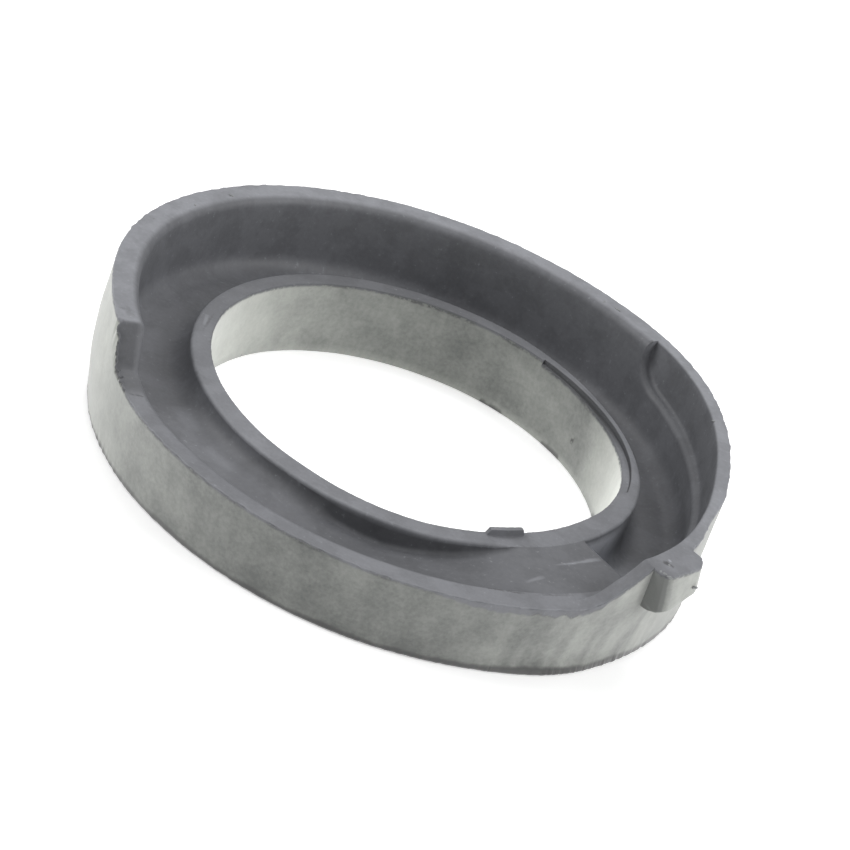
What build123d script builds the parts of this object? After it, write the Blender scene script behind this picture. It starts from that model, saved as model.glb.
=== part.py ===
from build123d import *
from math import atan2, cos, degrees, radians, sin
import os

os.makedirs("parts", exist_ok=True)

# Coil spring seat: a moulded rubber ring that lies between the end of a coil spring and its pan.
# Millimetres, +Z up. The origin is the centre of the bore in the flat underside.
# Azimuths are in degrees, counter-clockwise from +X as seen from above.

# Ring, with one height for the lip, the plateau and the low stretch of the outer wall
bore_radius = 48.3
lip_thickness = 4.7
lip_height = 19.0
channel_width = 14.0
wall_height = 29.3
wall_foot_thickness = 4.2
wall_top_thickness = 6.4
wall_inner_draft = 1.6

# Stretch of the tall wall that leans in, most at its top edge
lean_depth = 4.9
lean_azimuth = 2.0
lean_half_span = 47.5

# Channel for the end coil: its floor climbs counter-clockwise from the step to the plateau
step_azimuth = 326.0
floor_at_step = 5.6
floor_at_break = 14.8
break_azimuth = 262.0
plateau_azimuth = 304.0
channel_corner = 4.0
corner_chords = 4

# Ends of the tall wall: a sloping face that turns into a shallow run-out
left_face_azimuth = 207.5
left_face_width = 5.6
left_face_foot = 20.8
left_runout_width = 9.5
right_face_azimuth = 322.0
right_face_width = 9.7
right_face_foot = 20.6
right_runout_width = 3.8

# Relief in the tall wall for the second coil, from the right end, above the plateau and a climbing ledge
relief_wall = 3.3
relief_azimuth = 50.2
relief_corner = 8.0
ledge_at_step = 15.5
ledge_at_end = 20.1

# Lug that turns the seat the right way round in its pan
lug_azimuth = 326.5
lug_width = 11.4
lug_foot_width = 8.0
lug_reach = 4.4
lug_flank = 4.0
lug_height = 10.3
lug_round = 1.5

# Recess in the upper bore edge, which fades out clockwise
recess_azimuth = 62.5
recess_span = 64.0
recess_depth = 1.3
recess_width = 1.4

# Small tab that stands on the lip at the bore
tab_azimuth = 304.2
tab_length = 9.4
tab_top_length = 8.0
tab_height = 1.7
tab_thickness = 1.3

# Broken edges
wall_inner_round = 2.0
foot_chamfer = 0.6

# How far a cutting or joining shape runs past the faces that it meets
margin = 3.0
overlap = 1.5
corner_sink = 0.2

turn = 360.0
quarter = turn / 4
lip_radius = bore_radius + lip_thickness
channel_middle = lip_radius + channel_width / 2
wall_inner_foot_radius = lip_radius + channel_width
wall_inner_top_radius = wall_inner_foot_radius + wall_inner_draft
wall_foot_radius = wall_inner_foot_radius + wall_foot_thickness
wall_top_radius = wall_inner_top_radius + wall_top_thickness
clear_radius = wall_top_radius + lug_reach + margin
clear_height = wall_height + margin
web_height = floor_at_step - margin

def polar(radius, azimuth):
    return (radius * cos(radians(azimuth)), radius * sin(radians(azimuth)))

def arc_angle(length, radius):
    """Angle in degrees that a short length takes up at a radius."""
    return degrees(atan2(length, radius))

def radial_plane(azimuth):
    """Upright plane through the axis: its x runs outwards and its y runs up."""
    x, y = polar(1.0, azimuth)
    return Plane(origin=(0, 0, 0), x_dir=(x, y, 0), z_dir=(y, -x, 0))

def tangent_plane(azimuth, radius, clockwise=False):
    """Upright plane across a radius: its x runs round the ring and its y runs up."""
    x, y = polar(-1.0 if clockwise else 1.0, azimuth)
    return Plane(origin=(*polar(radius, azimuth), 0), x_dir=(-y, x, 0), z_dir=(x, y, 0))

def outer_radius(height):
    """Outer radius of the wall at one height, away from the leaning stretch."""
    return wall_foot_radius + (wall_top_radius - wall_foot_radius) * height / wall_height

def inner_radius(height):
    """Inner radius of the wall at one height, away from the leaning stretch."""
    return wall_inner_foot_radius + (wall_inner_top_radius - wall_inner_foot_radius) * height / wall_height

def wall_line(radius, height):
    """Face inside one level line of the wall: a circle, drawn in where the wall leans."""
    first = lean_azimuth - lean_half_span
    last = lean_azimuth + lean_half_span
    lean = lean_depth * height / wall_height
    with BuildSketch(Plane.XY.offset(height)) as face:
        with BuildLine():
            CenterArc((0, 0), radius, last, turn - 2 * lean_half_span)
            Spline(
                polar(radius, first),
                polar(radius - lean, lean_azimuth),
                polar(radius, last),
                tangents=(polar(1.0, first + 90), polar(1.0, last + 90)),
            )
        make_face()
    return face.sketch.face()

def climb(azimuth, span, low, high, clockwise=False):
    """Helix round the axis, on the lip's outer face."""
    height = high - low
    path = Helix(height * turn / span, height, lip_radius, center=(0, 0, low), lefthand=clockwise)
    return path.rotate(Axis.Z, azimuth)

def box_section(azimuth, inner, outer, low, high):
    """Upright rectangle between two radii and two heights."""
    with BuildSketch(radial_plane(azimuth)) as section:
        with BuildLine():
            Polyline((inner, low), (outer, low), (outer, high), (inner, high), close=True)
        make_face()
    return section.sketch

def channel_section(azimuth, floor, highest):
    """Section of the rubber under the coil: flat in the middle, rounded up in short chords at both sides."""
    inner = lip_radius - corner_sink
    outer = inner_radius(highest + channel_corner) + corner_sink
    corner = floor + channel_corner
    base = floor - lip_height
    angles = [quarter * step / corner_chords for step in range(corner_chords + 1)]
    curve = [polar(channel_corner, angle - quarter) for angle in angles]
    with BuildSketch(radial_plane(azimuth)) as section:
        with BuildLine():
            Polyline(
                *[(outer - channel_corner + across, corner + up) for across, up in curve],
                (outer + overlap, corner),
                (outer + overlap, base),
                (inner - overlap, base),
                (inner - overlap, corner),
                *[(inner + channel_corner - across, corner + up) for across, up in reversed(curve)],
                close=True,
            )
        make_face()
    return section.sketch

# Rubber under the coil: two climbs, then the level plateau that the step cuts off
first_span = (break_azimuth - step_azimuth) % turn
second_span = (plateau_azimuth - break_azimuth) % turn
plateau_span = (step_azimuth - plateau_azimuth) % turn
with BuildPart() as filling:
    sweep(
        channel_section(step_azimuth, floor_at_step, floor_at_break),
        path=climb(step_azimuth, first_span, floor_at_step, floor_at_break),
        is_frenet=True,
    )
    sweep(
        channel_section(break_azimuth, floor_at_break, lip_height),
        path=climb(break_azimuth, second_span, floor_at_break, lip_height),
        is_frenet=True,
    )
    revolve(
        box_section(plateau_azimuth, lip_radius - overlap, inner_radius(0) + overlap, 0, lip_height),
        axis=Axis.Z,
        revolution_arc=plateau_span,
    )
    with BuildSketch():
        Circle(clear_radius)
    extrude(amount=lip_height, mode=Mode.INTERSECT)

# Both ends of the low stretch of the wall
rim_inner = inner_radius(lip_height)
gap_start = left_face_azimuth + arc_angle(left_face_width + left_runout_width, rim_inner)
gap_end = right_face_azimuth - arc_angle(right_face_width + right_runout_width, rim_inner)

# Room for the second coil: what is inside the thin wall, and above the plateau or the ledge
relief_span = (relief_azimuth - step_azimuth) % turn
ramp_span = (step_azimuth - gap_end) % turn
ledge_low = ledge_at_step - margin
with BuildPart() as above_ledge:
    sweep(
        box_section(step_azimuth, channel_middle, clear_radius, ledge_at_step, clear_height + ledge_at_step),
        path=climb(step_azimuth, relief_span, ledge_at_step, ledge_at_end),
        is_frenet=True,
    )
    revolve(
        box_section(gap_end, channel_middle, clear_radius, lip_height, clear_height),
        axis=Axis.Z,
        revolution_arc=ramp_span,
    )
with BuildPart() as relief:
    loft(
        [wall_line(outer_radius(height) - relief_wall, height) for height in (ledge_low, clear_height)],
        ruled=True,
    )
    add(above_ledge.part, mode=Mode.INTERSECT)
    end_face = relief.faces().filter_by(GeomType.PLANE).sort_by(Axis.Y)[-1]
    fillet(end_face.edges().sort_by(Axis.Z)[0], radius=relief_corner)

# Room above the low stretch of the wall, with a sloping face and a run-out at each end
with BuildPart() as gap:
    revolve(
        box_section(gap_start, channel_middle, clear_radius, lip_height, clear_height),
        axis=Axis.Z,
        revolution_arc=(gap_end - gap_start) % turn,
    )
    for azimuth, clockwise, width, foot, runout in (
        (left_face_azimuth, False, left_face_width, left_face_foot, left_runout_width),
        (right_face_azimuth, True, right_face_width, right_face_foot, right_runout_width),
    ):
        with BuildSketch(tangent_plane(azimuth, rim_inner, clockwise)):
            with BuildLine():
                Polyline(
                    (0, wall_height),
                    (width, foot),
                    (width + runout, lip_height),
                    (width + runout + overlap, lip_height),
                    (width + runout + overlap, clear_height),
                    (0, clear_height),
                    close=True,
                )
            make_face()
        extrude(amount=clear_radius - rim_inner, both=True)

# Lug: a drafted block on the outside of the wall, its root inside the thin wall
lug_root_radius = wall_top_radius - relief_wall / 2
lug_front_radius = wall_top_radius + lug_reach
with BuildPart() as lug:
    for height, width in ((wall_height, lug_width), (wall_height - lug_height, lug_foot_width)):
        half = arc_angle(width / 2, wall_top_radius)
        flank = arc_angle(lug_flank, wall_top_radius)
        with BuildSketch(Plane.XY.offset(height)):
            with BuildLine():
                Polyline(
                    polar(lug_root_radius - lug_reach / 2, lug_azimuth - half),
                    polar(lug_front_radius, lug_azimuth - half),
                    polar(lug_front_radius, lug_azimuth + half - flank / 2),
                    polar(wall_top_radius, lug_azimuth + half + flank),
                    polar(lug_root_radius - lug_reach / 2, lug_azimuth + half + flank),
                    close=True,
                )
            make_face()
    loft(ruled=True)
    front = lug.faces().sort_by_distance((0, 0, wall_height))[-1]
    fillet(front.edges().sort_by(Axis.Z)[:-1], radius=lug_round)

# Shallow recess in the upper bore edge: its floor climbs clockwise until it meets the lip
with BuildPart() as recess:
    sweep(
        box_section(
            recess_azimuth,
            bore_radius - overlap,
            bore_radius + recess_width,
            lip_height - recess_depth,
            lip_height + recess_depth,
        ),
        path=climb(recess_azimuth, recess_span, lip_height - recess_depth, lip_height, clockwise=True),
        is_frenet=True,
    )

# The seat itself
with BuildPart() as spring_seat:
    # Plain ring with its wall leaning in at one side, and both of its foot edges broken
    loft([wall_line(wall_foot_radius, 0), wall_line(wall_top_radius, wall_height)], ruled=True)
    with BuildSketch():
        Circle(bore_radius)
    extrude(amount=wall_height, mode=Mode.SUBTRACT)
    chamfer(spring_seat.edges().group_by(Axis.Z)[0], length=foot_chamfer)

    # Room inside the wall, down to a level below the channel's lowest point
    loft(
        [wall_line(inner_radius(height), height) for height in (web_height, clear_height)],
        ruled=True,
        mode=Mode.SUBTRACT,
    )

    # Top edges of the wall: rounded inside, left sharp outside
    wall_top = spring_seat.faces().sort_by(Axis.Z)[-1]
    fillet(wall_top.inner_wires()[0].edges(), radius=wall_inner_round)

    # Lip, and the rubber under the coil
    with BuildSketch(Plane.XY.offset(web_height)):
        Circle(lip_radius)
        Circle(bore_radius, mode=Mode.SUBTRACT)
    extrude(amount=lip_height - web_height)
    add(filling.part)

    # Relief for the second coil, the low stretch of the wall, and the lug
    add(relief.part, mode=Mode.SUBTRACT)
    add(gap.part, mode=Mode.SUBTRACT)
    add(lug.part)

    # Recess in the bore's upper edge, and the tab beside the bore, rooted in the lip
    add(recess.part, mode=Mode.SUBTRACT)
    with BuildSketch(tangent_plane(tab_azimuth, bore_radius)):
        with BuildLine():
            Polyline(
                (-tab_length / 2, lip_height - tab_height),
                (tab_length / 2, lip_height - tab_height),
                (tab_length / 2, lip_height),
                (tab_top_length / 2, lip_height + tab_height),
                (-tab_top_length / 2, lip_height + tab_height),
                (-tab_length / 2, lip_height),
                close=True,
            )
        make_face()
    extrude(amount=tab_thickness)
spring_seat.part.label = "spring_seat"
export_step(spring_seat.part, "parts/spring_seat.step")
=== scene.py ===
# %% [markdown]
# A coil spring seat is a moulded rubber ring, which lies between the end of a coil spring and
# its pan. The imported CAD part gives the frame: its units, its axes and its box. Everything
# below is built round the same axis, with +Z up and azimuths counter-clockwise from +X.

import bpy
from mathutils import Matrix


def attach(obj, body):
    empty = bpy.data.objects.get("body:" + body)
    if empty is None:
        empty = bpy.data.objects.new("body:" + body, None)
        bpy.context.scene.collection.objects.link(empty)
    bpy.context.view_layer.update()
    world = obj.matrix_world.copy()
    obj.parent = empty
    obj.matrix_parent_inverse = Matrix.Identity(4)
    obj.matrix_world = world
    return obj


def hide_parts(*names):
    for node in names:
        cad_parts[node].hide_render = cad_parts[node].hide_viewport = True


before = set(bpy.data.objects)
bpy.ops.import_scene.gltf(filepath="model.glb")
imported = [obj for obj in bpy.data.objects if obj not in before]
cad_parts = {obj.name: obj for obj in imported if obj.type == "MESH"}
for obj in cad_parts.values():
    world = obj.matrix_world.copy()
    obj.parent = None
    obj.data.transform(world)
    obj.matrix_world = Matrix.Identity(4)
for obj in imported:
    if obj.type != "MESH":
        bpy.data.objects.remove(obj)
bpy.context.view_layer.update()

# %% [markdown]
# A mould maker draws one section of the ring and says how it changes round the axis. The sizes
# are in millimetres here, as on such a drawing, and become metres once, when the mesh is made.

# %% Sizes of the ring
import math

import bmesh
import bpy
import numpy as np
from mathutils import Matrix, Vector, noise

MM = 0.001
WALL_RADIUS = 75.0  # radius of the tall wall at its top
BORE = 48.3  # radius of the hole
LIP = 53.0  # radius of the lip's outer side
LEVEL = 19.0  # height of the lip and of the channel's plateau
TOP = 29.3  # height of the tall wall
STEP = 326.0  # azimuth where the channel's floor drops
print("the ring is", round(WALL_RADIUS - BORE, 1), "mm wide and", TOP, "mm tall")

# %% [markdown]
# The end coil of the spring lies in the channel. A coil climbs as it turns, so the floor climbs
# counter-clockwise from a step, where the wire's cut end stops, to a plateau level with the
# lip. It could be a thread cut with a tool, but a moulded floor is only a height that depends on
# the azimuth, so here it is one small function.

# %% Height of the floor
BREAK = 262.0  # azimuth where the floor turns steeper
PLATEAU = 304.0  # azimuth where it reaches its full height
FLOOR_START, FLOOR_RISE = 5.6, 9.2  # height at the step, and rise up to the break
FLOOR_AT_BREAK = 14.8
CHANNEL_MIDDLE = 60.0  # radius
WORN_DEPTH, WORN_REACH = 0.45, 0.6  # of the plateau's edge at the step


def smooth(x, low=0.0, high=1.0):
    """Soft step from 0 to 1 between two limits."""
    t = min(max((x - low) / (high - low), 0.0), 1.0)
    return t * t * (3 - 2 * t)


def away(azimuth, start):
    """Degrees counter-clockwise from a start azimuth, 0 to 360."""
    return (azimuth - start) % 360.0


def crest_drop(a):
    """How far the plateau's edge is worn down, just before the step."""
    before = math.radians(away(STEP, a)) * CHANNEL_MIDDLE
    return WORN_DEPTH * (1 - before / WORN_REACH) ** 2 if before < WORN_REACH else 0.0


def floor_height(a):
    """Height of the channel's floor."""
    turned = away(a, STEP)
    first = away(BREAK, STEP)
    if turned <= first:
        return FLOOR_START + FLOOR_RISE * turned / first
    climbed = min((turned - first) / away(PLATEAU, BREAK), 1.0)
    return FLOOR_AT_BREAK + (LEVEL - FLOOR_AT_BREAK) * climbed - crest_drop(a)


for a in (327.0, 0.0, 90.0, 262.0, 304.0):
    print("azimuth", a, "floor at", round(floor_height(a), 2))

# %% [markdown]
# The second coil of the spring passes close above the first, so beside the step the wall is cut
# back from inside to a thin wall. What is left below is a ledge, which climbs with the floor
# and turns up into the full wall in a round corner. Before the step it is level with the
# plateau, because there it is the plateau's own edge.

# %% Height of the ledge
RAMP_FOOT = 310.8  # azimuth where the plateau reaches out to the thin wall
RELIEF_END = 50.2  # azimuth where the wall has its full thickness again
RELIEF_CORNER = 8.0  # radius of the round corner at that end
LEDGE_START, LEDGE_RISE = 15.5, 4.6  # height beside the step, and rise to the end
LEDGE_MIDDLE = 69.0  # radius


def ledge_height(a):
    """Height of the ledge in the relief, or None where the wall has its full thickness."""
    if away(a, RAMP_FOOT) < away(STEP, RAMP_FOOT):
        return LEVEL - crest_drop(a)
    turned = away(a, STEP)
    if turned > away(RELIEF_END, STEP):
        return None
    height = LEDGE_START + LEDGE_RISE * turned / away(RELIEF_END, STEP)
    left = math.radians(away(RELIEF_END, a)) * LEDGE_MIDDLE
    if left < RELIEF_CORNER:
        height += RELIEF_CORNER - math.sqrt(RELIEF_CORNER**2 - (RELIEF_CORNER - left) ** 2)
    return height


for a in (327.0, 0.0, 45.0):
    print("azimuth", a, "ledge at", round(ledge_height(a), 2))

# %% [markdown]
# The wall is drafted, so that the seat comes out of its mould, and its radii grow with height.
# At the right it leans in over the channel, most at its top, and at the left a little. A round
# part that was bent while it was warm also has a waist and a belly. They are a millimetre at
# most here, but they show in its outline.

# %% Radii of the wall
INNER_AT_FOOT, INNER_DRAFT = 67.0, 1.6  # radius at the foot, and growth up to the top
OUTER_AT_FOOT, OUTER_DRAFT = 71.2, 3.8
THIN = 3.3  # thickness of the wall beside the relief
RIGHT_LEAN, LEFT_LEAN = 4.9, 0.9  # at the top


def apart(azimuth, other):
    """Signed degrees between two azimuths, -180 to 180."""
    return (azimuth - other + 180.0) % 360.0 - 180.0


def lobe(a, centre, span):
    """1 at an azimuth, fading softly to 0 at a span of degrees to each side."""
    return smooth(1.0 - abs(apart(a, centre)) / span)


def lean(a, share):
    """How far the wall leans in, at a share of its height."""
    return RIGHT_LEAN * share * lobe(a, 2.0, 47.5) + LEFT_LEAN * share**4 * lobe(a, 196.0, 34.0)


def inner_wall(a, z):
    """Radius of the wall's inner side."""
    return INNER_AT_FOOT + INNER_DRAFT * z / TOP - lean(a, (z / TOP) ** 1.4)


def drafted_wall(a, z):
    """Radius of the outer wall without its waist and belly."""
    return OUTER_AT_FOOT + OUTER_DRAFT * z / TOP - lean(a, z / TOP)


def outer_wall(a, z):
    """Radius of the outer wall."""
    waist = lobe(a, 346.0, 12.0) * smooth(z, 2.0, 16.0)
    belly = 0.8 * lobe(a, 196.0, 24.0) * smooth(z, 0.0, 12.0) * (1 - smooth(z, 18.0, 28.0))
    return drafted_wall(a, z) - waist + belly


def thin_wall(a, z):
    """Radius of the thin wall's inner face."""
    return drafted_wall(a, z) - THIN


for a in (2.0, 90.0, 196.0, 346.0):
    inner, outer = inner_wall(a, TOP), outer_wall(a, TOP)
    print("azimuth", a, "wall's top from", round(inner, 1), "to", round(outer, 1))

# %% [markdown]
# Over the plateau the wall is only a low rim, so that the spring can be laid in. The tall wall
# ends there in two steep faces, each with a short run-out at its foot. They run straight across
# the wall, so the distance past an end is measured square to it. Averaging the profile over
# less than a millimetre takes the sharpness off its corners, as the mould does.

# %% Height of the wall
LEFT_END, RIGHT_END = 207.5, 322.0  # azimuths where the steep faces start
LEFT_FACE = (5.6, 20.8, 9.5)  # width of the steep face, height of its foot, length of the run-out
RIGHT_FACE = (9.7, 20.6, 3.8)
BLUR = (-0.4, -0.2, 0.0, 0.2, 0.4)  # places over which the profile is averaged


def end_profile(x, width, foot, runout):
    """Height of the wall at a distance past its end: a steep face, then a run-out."""
    if x <= 0:
        return TOP
    if x < width:
        return TOP + (foot - TOP) * x / width
    return max(foot + (LEVEL - foot) * (x - width) / runout, LEVEL)


def wall_height(a, r):
    """Height of the wall at an azimuth and a radius, lower between its two ends."""
    left = r * math.sin(math.radians(min(max(apart(a, LEFT_END), -90), 90)))
    right = r * math.sin(math.radians(min(max(apart(RIGHT_END, a), -90), 90)))
    heights = []
    for b in BLUR:
        heights.append(max(end_profile(left + b, *LEFT_FACE), end_profile(right + b, *RIGHT_FACE)))
    return sum(heights) / len(heights)


for a in (100, 209, 214, 260, 320):
    print("azimuth", a, "wall's height", round(wall_height(a, 70.0), 2))

# %% [markdown]
# The lug is a drafted block on the outside of the wall, which turns the seat the right way
# round in its pan. It could be a block of its own, pushed into the wall, but then its foot
# wouldn't blend in. Its outline from above is a few points, read off at the wall's top edge.
# Below the top it is the same outline, shifted round the ring as it goes down, because its
# sides are drafted askew.

# %% Outline of the lug
LUG_AZIMUTH = (321.99, 322.01, 322.3, 322.9, 323.8, 330.5, 331.4, 332.5, 333.3, 334.0)
LUG_RADIUS = (0.0, 76.6, 77.6, 78.2, 78.6, 78.6, 78.2, 77.3, 76.2, 0.0)
LUG_FOOT = ((322.0, 332.5, 336.5), (17.6, 21.6, 18.2))
PLAIN_FOOT = 18.2  # height down to which the rows are dense beside the lug
LUG_SKEW = ((315.0, 321.8, 324.0, 330.0, 334.0, 341.0), (0, 2.3, 2.3, 1.5, 1.5, 0))  # azimuths, degrees


def lug_radius(a):
    """Radius of the lug's outline at the wall's top edge, or 0 beside it."""
    return float(np.interp(a, LUG_AZIMUTH, LUG_RADIUS)) if 321.9 < a < 334.1 else 0.0


def lug_foot(a):
    """Height at which the lug ends, and the dense rows of the outer wall with it."""
    return float(np.interp(a, *LUG_FOOT)) if 322.0 < a < 336.5 else PLAIN_FOOT


def lug_shift(a):
    """Degrees by which the lug's lower end is shifted round the ring."""
    return float(np.interp(a, *LUG_SKEW))


print("the lug stands out by", round(lug_radius(328.0) - outer_wall(328.0, TOP), 1), "mm")

# %% [markdown]
# The bore goes round the collar of the pan. Its upper edge has a shallow recess at the right,
# whose floor fades out, and a small tab at the front. A real moulding is never quite round:
# here the bore is out of true by up to a millimetre, and the lip stands a little proud where
# the press filled it too full. A table of azimuths and values says so, read with straight
# lines between its entries.

# %% The bore's edge
BORE_SHIFT = (
    (0, 0),
    (20, 0.5),
    (45, 1.0),
    (70, 0.8),
    (100, 0.4),
    (170, 0.3),
    (200, 0),
    (225, -0.5),
    (250, -0.8),
    (270, -0.2),
    (300, 0),
    (313, -0.7),
    (330, -0.9),
    (345, -0.5),
)
RECESS = 62.5  # azimuth where the recess starts; it fades out clockwise
RECESS_SPAN = 64.0
RECESS_DEPTH = ((0, 20, 35, 50, 64), (1.0, 1.4, 1.3, 0.8, 0.0))  # degrees from its start, depths
STRIP = 1.3  # width of the strip beside the bore, which carries the tab
TAB, TAB_HALF, TAB_HEIGHT = 304.2, 4.7, 1.6  # azimuth, half its length, height


def round_ring(table, a):
    """Reads a table of azimuths and values that closes on itself."""
    return float(np.interp(a, [p[0] for p in table], [p[1] for p in table], period=360.0))


def bore(a):
    """Radius of the bore at its upper edge."""
    return BORE + round_ring(BORE_SHIFT, a)


def lip_lift(a):
    """How far the lip stands proud."""
    return 0.7 * smooth(apart(a, 280.0), 0.0, 20.0) * (1 - smooth(apart(a, 335.0), 0.0, 20.0))


def beside_recess(a):
    """1 beside the recess, where the lip is thin and rounded."""
    return lobe(a, 33.0, 45.0)


def bore_edge(a):
    """Width and height of the strip beside the bore: a fading recess, and a small tab."""
    faded = away(RECESS, a)
    if faded < RECESS_SPAN:
        drop = float(np.interp(faded, *RECESS_DEPTH))
        return 0.6 + 1.2 * smooth(faded, 10.0, 50.0), LEVEL - drop
    beside = abs(math.radians(apart(a, TAB)) * BORE)
    if beside < TAB_HALF:
        return STRIP, LEVEL + TAB_HEIGHT * min((TAB_HALF - beside) / 0.7, 1.0)
    return STRIP, LEVEL


for a in (60.0, 20.0, 304.0):
    print("azimuth", a, "strip's width and height", [round(v, 2) for v in bore_edge(a)])

# %% [markdown]
# On its way up to the plateau the floor is hollow beside the lip, which gives the dark crescent
# at the front of the ring. Its depth is a second table, and where it is deep the floor meets
# the lip in a sharper corner.

# %% Depth of the hollow
HOLLOW = (  # azimuths and depths
    (250, 258, 264, 269, 274, 279, 283, 292, 299, 303, 307),
    (0, 0.4, 1.3, 2.2, 2.9, 2.8, 2.6, 2.0, 1.5, 1.0, 0),
)


def hollow(a):
    """Depth of the hollow beside the lip."""
    return float(np.interp(a, *HOLLOW))


print("deepest hollow:", max(HOLLOW[1]), "mm")

# %% [markdown]
# One section of the ring is a closed line in radius and height. It is written as a few corners,
# each with its own softening, and every side between two corners gets a fixed number of points.
# So all sections have the same number of points and can be joined in rows, and a feature that
# isn't there at some azimuth simply has sides of no length. A boolean cut on a mesh could give
# the same form, but not these neat rows, which take a soft edge and a fine surface much better.

# %% Corners of a section
BORE_FOOT, BORE_TOP, STRIP_END, RISER_TOP, LIP_EDGE, FLOOR_IN = range(6)
FLOOR_OUT, INNER_EDGE, LEDGE_END, THIN_TOP, OUTER_TOP, OUTER_FOOT = range(6, 12)
INSIDE, MIDDLE, OUTSIDE = 68.0, 71.0, 74.5  # radii at which the wall's height is taken


def corners(a):
    """Corners of the section, each as radius, height and how far its softening reaches."""
    dip = hollow(a)
    floor = floor_height(a)
    ledge = ledge_height(a)
    width, strip = bore_edge(a)
    lift = lip_lift(a)
    foot_lift = lift * smooth(floor, 16.0, LEVEL)
    lip_side = LEVEL + lift - floor - foot_lift + dip
    inside = wall_height(a, INSIDE)
    middle = wall_height(a, MIDDLE)
    outside = wall_height(a, OUTSIDE)
    if ledge is None:
        inner_edge = (inner_wall(a, inside), inside, min(2.0, 0.4 * (inside - floor)))
        ledge_end = (thin_wall(a, middle), middle, 0.0)
    else:
        inner_edge = (inner_wall(a, ledge), ledge, 1.5)
        ledge_end = (thin_wall(a, ledge), ledge, 0.8)
    return [
        (bore(a) + 0.8 * lobe(a, 70.0, 60.0), 0.0, 0.5),
        (bore(a), strip + lift, 0.3),
        (bore(a) + width, strip + lift, 0.2),
        (bore(a) + width, LEVEL + lift, 0.25),
        (LIP, LEVEL + lift, min(0.8 + 1.6 * beside_recess(a), lip_side / 2)),
        (LIP, floor + foot_lift - dip, 4.0 - 2.8 * min(dip, 1.0)),
        (inner_wall(a, floor), floor, 4.0),
        inner_edge,
        ledge_end,
        (thin_wall(a, middle), middle, 0.5),
        (max(outer_wall(a, outside), lug_radius(a)), outside, 0.35),
        (outer_wall(a, 0.0), 0.0, 0.8),
    ]


print("corners at 90 degrees:", [[round(v, 1) for v in corner] for corner in corners(90.0)])

# %% [markdown]
# The side down the outer wall is special. Its upper rows are close together and follow the lug,
# down to the lug's foot, and the lower ones are further apart.

# %% Points down the outer wall
CORNER_POINTS = (3, 4, 3, 3, 5, 7, 7, 6, 4, 4, 4, 4)
SIDE_POINTS = (8, 1, 0, 3, 3, 6, 8, 2, 6, 2, 33, 8)
DENSE_ROWS = 22
ROWS = sum(CORNER_POINTS) + sum(SIDE_POINTS)
LUG_ROUNDING = 1.5  # height over which the lug's foot rounds into the wall


def outer_side(a, start, end):
    """Points down the outer wall as radius, height and degrees of shift round the ring."""
    foot = lug_foot(a)
    reach = max(start.x - outer_wall(a, start.y), 0.0) if lug_radius(a) else 0.0
    points = []
    for k in range(1, DENSE_ROWS + 1):
        down = (1 - math.cos(math.pi * k / DENSE_ROWS)) / 2
        z = start.y + (foot - start.y) * down
        above = min((z - foot) / LUG_ROUNDING, 1.0)
        out = reach + (OUTER_DRAFT * (start.y - z) / TOP if reach else 0.0)
        radius = outer_wall(a, z) + out * math.sqrt(1 - (1 - above) ** 2)
        points.append((radius, z, lug_shift(a) * down))
    lower_rows = SIDE_POINTS[OUTER_TOP] - DENSE_ROWS
    for k in range(1, lower_rows + 1):
        down = k / (lower_rows + 1)
        z = foot + (end.y - foot) * down
        points.append((outer_wall(a, z), z, lug_shift(a) * (1 - smooth(down, 0.0, 0.5))))
    return points


print("points in a section:", ROWS)

# %% [markdown]
# A corner is softened with a short curve whose ends lie on its two sides. Where two softenings
# don't fit on one side, both shrink to share it, so the line never runs back over itself. A
# bevel on the finished mesh could round the edges too, but it would fail where sides vanish.

# %% All the points of a section
ROUND = 0.5523  # makes the curve of a square corner nearly a quarter circle
SHORTEST = 1e-9


def heading(side):
    """Direction of a side, or nothing for a side of no length."""
    return side.normalized() if side.length > SHORTEST else Vector((0, 0))


def bend(first, corner, last, count):
    """Points of the soft curve round a corner."""
    bend_in, bend_out = first.lerp(corner, ROUND), last.lerp(corner, ROUND)
    curve = []
    for k in range(count):
        t = k / (count - 1)
        near = first * (1 - t) ** 3 + bend_in * 3 * t * (1 - t) ** 2
        curve.append(near + bend_out * 3 * t * t * (1 - t) + last * t**3)
    return curve


def section(a):
    """The section at one azimuth, as radius, height and degrees of shift round the ring."""
    keys = corners(a)
    count = len(keys)
    at = [Vector(k[:2]) for k in keys]
    sides = [at[(i + 1) % count] - at[i] for i in range(count)]
    starts, ends = [], []
    for i, side in enumerate(sides):
        wanted = keys[i][2] + keys[(i + 1) % count][2]
        share = min(side.length / wanted, 1.0) if wanted else 0.0
        starts.append(keys[i][2] * share)
        ends.append(keys[(i + 1) % count][2] * share)
    firsts = [at[i] - heading(sides[i - 1]) * ends[i - 1] for i in range(count)]
    lasts = [at[i] + heading(sides[i]) * starts[i] for i in range(count)]
    line = []
    for i in range(count):
        line += [(p.x, p.y, 0.0) for p in bend(firsts[i], at[i], lasts[i], CORNER_POINTS[i])]
        start, end = lasts[i], firsts[(i + 1) % count]
        if i == OUTER_TOP:
            line += outer_side(a, start, end)
            continue
        for k in range(1, SIDE_POINTS[i] + 1):
            p = start.lerp(end, k / (SIDE_POINTS[i] + 1))
            line.append((p.x, p.y, 0.0))
    return line


print("section at 90 degrees starts with", [tuple(round(v, 2) for v in p) for p in section(90.0)[:3]])

# %% [markdown]
# Sections stand every three quarters of a degree, and closer where the form changes quickly.
# At a sudden change, such as the step, two sections stand almost in one plane, so that the
# rows between them make an upright face.

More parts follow.
